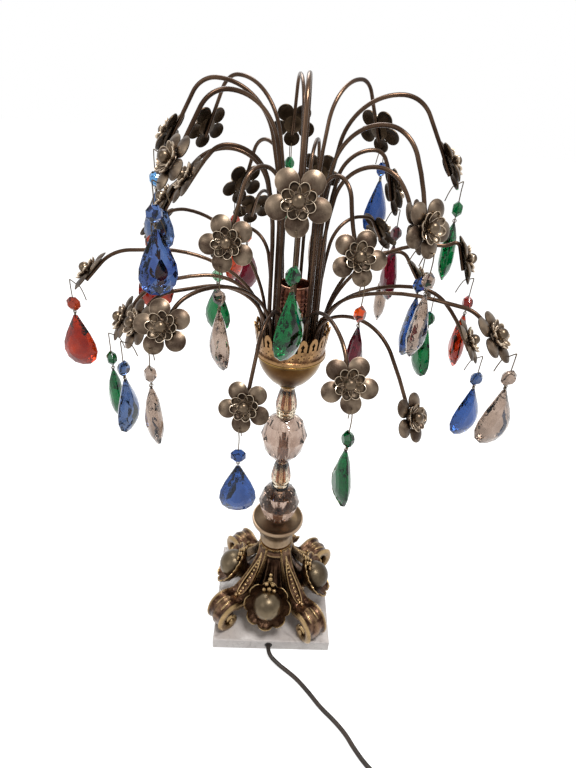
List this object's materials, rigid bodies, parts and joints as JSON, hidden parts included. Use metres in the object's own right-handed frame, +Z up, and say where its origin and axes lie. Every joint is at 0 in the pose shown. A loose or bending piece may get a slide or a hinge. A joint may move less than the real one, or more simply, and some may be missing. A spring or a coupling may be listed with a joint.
{
  "type": "prism table lamp",
  "caption": "Table lamp with a marble plinth, cast foot, cut-glass stem and a pierced cup from which bent wire arms spread, each ending in a flower with a swinging cut-glass drop.",
  "frame": {"origin": "centre of the felt's underside, on the stem's axis", "axes": "+Z up along the stem; -Y towards the front, where the cord leaves; +X to the right seen from the front"},
  "size_m": [0.5091, 0.4295, 0.601],
  "materials": {
    "felt": "wool felt",
    "marble": "polished, grey veins",
    "aged_brass": "cast, dark patina",
    "stem_glass": "cut facets",
    "steel": "plated",
    "bronze_wire": "bronzed wire",
    "silvered_bronze": "pressed, silvered bronze",
    "insulator": "moulded",
    "copper": "copper-coloured sheet",
    "wire_plastic": "insulated wire",
    "black_plastic": "moulded",
    "cord_plastic": "dark brown sheath",
    "glass_blue": "cut crystal",
    "glass_clear": "cut crystal",
    "glass_cobalt": "cut crystal",
    "glass_garnet": "cut crystal",
    "glass_green": "cut crystal",
    "glass_grey_blue": "cut crystal",
    "glass_orange": "cut crystal",
    "glass_red": "cut crystal"
  },
  "bodies": {
    "lamp": {"base_felt": "felt", "marble_plinth": "marble", "cast_foot": "aged_brass", "foot_dish": "aged_brass", "lower_glass_ball": "stem_glass", "lower_glass_neck": "stem_glass", "upper_glass_ball": "stem_glass", "upper_glass_neck": "stem_glass", "stem_pipe": "steel", "bottom_nut": "steel", "bottom_washer": "steel", "brass_cup": "aged_brass", "pierced_gallery": "aged_brass", "arm_plate": "aged_brass", "arm_plate_nut": "steel", "top_arms": "bronze_wire", "middle_arms": "bronze_wire", "low_arms": "bronze_wire", "outer_petals": "silvered_bronze", "inner_petals": "silvered_bronze", "flower_balls": "silvered_bronze", "socket_cap": "aged_brass", "socket_insulator": "insulator", "socket_shell": "copper", "socket_contact": "copper", "supply_wires": "wire_plastic", "cord_bushing": "black_plastic", "lamp_cord": "cord_plastic", "switch_housing": "black_plastic", "cord_coil": "cord_plastic", "plug_body": "black_plastic", "plug_blades": "steel"},
    "drop_back_left_high": {"drop_back_left_high": "glass_grey_blue"},
    "drop_front_left_high": {"drop_front_left_high": "glass_cobalt"},
    "drop_back_high": {"drop_back_high": "glass_green"},
    "drop_back_right_high": {"drop_back_right_high": "glass_blue"},
    "drop_right_high": {"drop_right_high": "glass_green"},
    "drop_front_right_lean": {"drop_front_right_lean": "glass_clear"},
    "drop_front_high": {"drop_front_high": "glass_green"},
    "drop_left_mid_outer": {"drop_left_mid_outer": "glass_red"},
    "drop_back_left_mid": {"drop_back_left_mid": "glass_orange"},
    "drop_back_mid": {"drop_back_mid": "glass_clear"},
    "drop_front_left_mid": {"drop_front_left_mid": "glass_clear"},
    "drop_front_right_mid": {"drop_front_right_mid": "glass_garnet"},
    "drop_right_mid": {"drop_right_mid": "glass_garnet"},
    "drop_right_mid_front": {"drop_right_mid_front": "glass_blue"},
    "drop_left_low": {"drop_left_low": "glass_red"},
    "drop_left_low_inner": {"drop_left_low_inner": "glass_green"},
    "drop_left_low_front": {"drop_left_low_front": "glass_grey_blue"},
    "drop_front_left_low": {"drop_front_left_low": "glass_clear"},
    "drop_front_low": {"drop_front_low": "glass_blue"},
    "drop_front_right_low": {"drop_front_right_low": "glass_green"},
    "drop_right_front_low": {"drop_right_front_low": "glass_clear"},
    "drop_right_low": {"drop_right_low": "glass_blue"},
    "drop_right_low_high": {"drop_right_low_high": "glass_red"},
    "drop_back_right_low": {"drop_back_right_low": "glass_green"},
    "drop_back_right_mid": {"drop_back_right_mid": "glass_clear"},
    "drop_back_left_low": {"drop_back_left_low": "glass_garnet"},
    "drop_behind_left_low": {"drop_behind_left_low": "glass_green"},
    "rocker": {"switch_rocker": "black_plastic"}
  },
  "joints": [
    {"name": "back_left_high_swing", "type": "hinge", "parent": "lamp", "child": "drop_back_left_high", "pos_m": [-0.11784, 0.01656, 0.53568], "axis": [-0.8576, 0.1205, 0.5], "range_deg": [-8, 7]},
    {"name": "front_left_high_swing", "type": "hinge", "parent": "lamp", "child": "drop_front_left_high", "pos_m": [-0.09666, -0.06768, 0.52768], "axis": [-0.7094, -0.4967, 0.5], "range_deg": [-20, 17]},
    {"name": "back_high_swing", "type": "hinge", "parent": "lamp", "child": "drop_back_high", "pos_m": [-0.01468, 0.10444, 0.54339], "axis": [-0.1261, 0.8975, 0.4226], "range_deg": [-20, 8]},
    {"name": "back_right_high_swing", "type": "hinge", "parent": "lamp", "child": "drop_back_right_high", "pos_m": [0.06878, 0.08196, 0.54568], "axis": [0.5567, 0.6634, 0.5], "range_deg": [-20, 20]},
    {"name": "right_high_swing", "type": "hinge", "parent": "lamp", "child": "drop_right_high", "pos_m": [0.12183, 0.00639, 0.53068], "axis": [0.8648, 0.0453, 0.5], "range_deg": [-5, 20]},
    {"name": "front_right_lean_swing", "type": "hinge", "parent": "lamp", "child": "drop_front_right_lean", "pos_m": [0.09182, -0.07194, 0.49631], "axis": [0.5105, -0.8248, 0.2432], "range_deg": [-20, 8]},
    {"name": "front_high_swing", "type": "hinge", "parent": "lamp", "child": "drop_front_high", "pos_m": [-0.00199, -0.11405, 0.51525], "axis": [-0.0169, -0.9701, 0.2419], "range_deg": [-20, 20]},
    {"name": "left_mid_outer_swing", "type": "hinge", "parent": "lamp", "child": "drop_left_mid_outer", "pos_m": [-0.11793, -0.00412, 0.48968], "axis": [-0.8655, -0.0302, 0.5], "range_deg": [-20, 16]},
    {"name": "back_left_mid_swing", "type": "hinge", "parent": "lamp", "child": "drop_back_left_mid", "pos_m": [-0.06073, 0.07237, 0.49339], "axis": [-0.5826, 0.6943, 0.4226], "range_deg": [-20, 5]},
    {"name": "back_mid_swing", "type": "hinge", "parent": "lamp", "child": "drop_back_mid", "pos_m": [0.01502, 0.08516, 0.5064], "axis": [0.1574, 0.8925, 0.4226], "range_deg": [-20, 20]},
    {"name": "front_left_mid_swing", "type": "hinge", "parent": "lamp", "child": "drop_front_left_mid", "pos_m": [-0.05494, -0.07342, 0.47535], "axis": [-0.0632, -0.9461, 0.3177], "range_deg": [-11, 12]},
    {"name": "front_right_mid_swing", "type": "hinge", "parent": "lamp", "child": "drop_front_right_mid", "pos_m": [0.04848, -0.07299, 0.47267], "axis": [0.1034, -0.899, 0.4255], "range_deg": [-20, 14]},
    {"name": "right_mid_swing", "type": "hinge", "parent": "lamp", "child": "drop_right_mid", "pos_m": [0.07862, 0.01671, 0.50523], "axis": [0.9448, 0.2008, 0.2588], "range_deg": [-8, 20]},
    {"name": "right_mid_front_swing", "type": "hinge", "parent": "lamp", "child": "drop_right_mid_front", "pos_m": [0.09002, -0.0499, 0.49225], "axis": [0.8219, -0.4556, 0.342], "range_deg": [-4, 20]},
    {"name": "left_low_swing", "type": "hinge", "parent": "lamp", "child": "drop_left_low", "pos_m": [-0.18371, -0.02582, 0.43389], "axis": [-0.7359, -0.1034, 0.6691], "range_deg": [-20, 20]},
    {"name": "left_low_inner_swing", "type": "hinge", "parent": "lamp", "child": "drop_left_low_inner", "pos_m": [-0.14778, -0.04802, 0.40055], "axis": [-0.8397, -0.2728, 0.4695], "range_deg": [-20, 13]},
    {"name": "left_low_front_swing", "type": "hinge", "parent": "lamp", "child": "drop_left_low_front", "pos_m": [-0.12669, -0.07916, 0.41055], "axis": [-0.7488, -0.4679, 0.4695], "range_deg": [-13, 20]},
    {"name": "front_left_low_swing", "type": "hinge", "parent": "lamp", "child": "drop_front_left_low", "pos_m": [-0.0985, -0.11238, 0.42545], "axis": [-0.0042, -0.8635, 0.5043], "range_deg": [-20, 20]},
    {"name": "front_low_swing", "type": "hinge", "parent": "lamp", "child": "drop_front_low", "pos_m": [-0.03469, -0.10923, 0.35966], "axis": [-0.0676, -0.8858, 0.4592], "range_deg": [-20, 20]},
    {"name": "front_right_low_swing", "type": "hinge", "parent": "lamp", "child": "drop_front_right_low", "pos_m": [0.04507, -0.13384, 0.40181], "axis": [0.0261, -0.8753, 0.483], "range_deg": [-20, 20]},
    {"name": "right_front_low_swing", "type": "hinge", "parent": "lamp", "child": "drop_right_front_low", "pos_m": [0.15474, -0.10049, 0.43389], "axis": [0.6233, -0.4047, 0.6691], "range_deg": [-20, 20]},
    {"name": "right_low_swing", "type": "hinge", "parent": "lamp", "child": "drop_right_low", "pos_m": [0.15706, -0.04208, 0.40183], "axis": [0.8192, -0.2195, 0.5299], "range_deg": [-20, 20]},
    {"name": "right_low_high_swing", "type": "hinge", "parent": "lamp", "child": "drop_right_low_high", "pos_m": [0.14259, -0.01549, 0.46125], "axis": [0.9342, -0.1015, 0.342], "range_deg": [-2, 20]},
    {"name": "back_right_low_swing", "type": "hinge", "parent": "lamp", "child": "drop_back_right_low", "pos_m": [0.1202, 0.0084, 0.43609], "axis": [0.8172, 0.0571, 0.5736], "range_deg": [-20, 20]},
    {"name": "back_right_mid_swing", "type": "hinge", "parent": "lamp", "child": "drop_back_right_mid", "pos_m": [0.08232, 0.05764, 0.46509], "axis": [0.671, 0.4698, 0.5736], "range_deg": [-20, 20]},
    {"name": "back_left_low_swing", "type": "hinge", "parent": "lamp", "child": "drop_back_left_low", "pos_m": [-0.05388, 0.11555, 0.46509], "axis": [-0.3462, 0.7424, 0.5736], "range_deg": [-20, 20]},
    {"name": "behind_left_low_swing", "type": "hinge", "parent": "lamp", "child": "drop_behind_left_low", "pos_m": [-0.07372, 0.05162, 0.44168], "axis": [-0.7094, 0.4967, 0.5], "range_deg": [-20, 20]},
    {"name": "rocker_tilt", "type": "hinge", "parent": "lamp", "child": "rocker", "pos_m": [0.189, -0.204, 0.00868], "axis": [0, -1, 0], "range_deg": [0, 14]}
  ]
}
